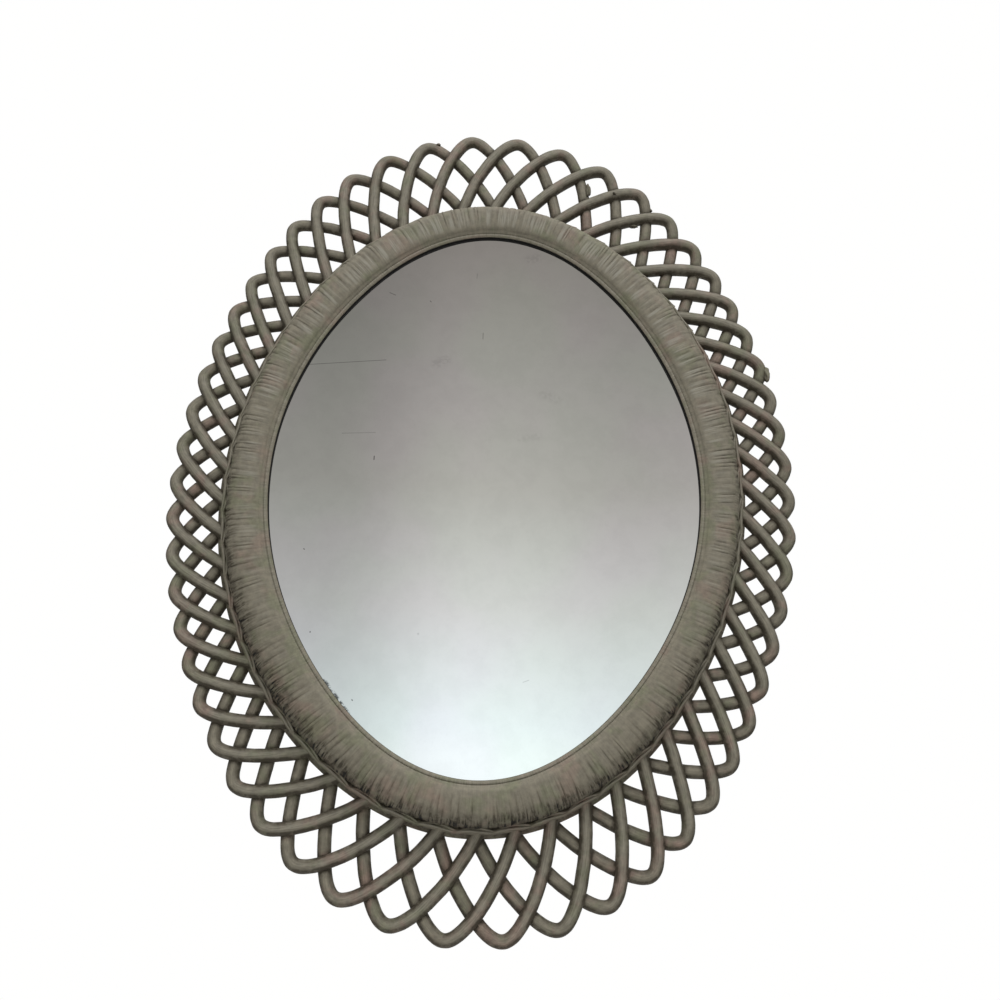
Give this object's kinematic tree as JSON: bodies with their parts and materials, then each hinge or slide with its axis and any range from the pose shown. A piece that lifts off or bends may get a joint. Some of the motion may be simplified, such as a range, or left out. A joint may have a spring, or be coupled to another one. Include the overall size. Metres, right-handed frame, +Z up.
{
  "type": "wall mirror",
  "caption": "Oval wall mirror in a moulded frame that imitates woven cane: a ribbed roll round the glass and an openwork border of crossing arches.",
  "frame": {"origin": "middle of the back face of the hanger plate, at the top of the frame's back", "axes": "+Z up along the wall, +Y into the wall, the mirror faces -Y, +X to the viewer's right"},
  "size_m": [0.5084, 0.0325, 0.6851],
  "materials": {
    "frame": "matt grey-brown paint, worn and blotched, darker in the hollows",
    "glass": "silvered glass with faint scratches and smudges",
    "board": "plain brown fibreboard",
    "hanger": "yellow zinc plate",
    "tacks": "plain steel"
  },
  "bodies": {
    "root": {"mirror_frame": "frame", "mirror_glass": "glass", "backing_board": "board", "hanger_plate": "hanger", "hanger_tack_left": "tacks", "hanger_tack_right": "tacks"}
  },
  "joints": []
}
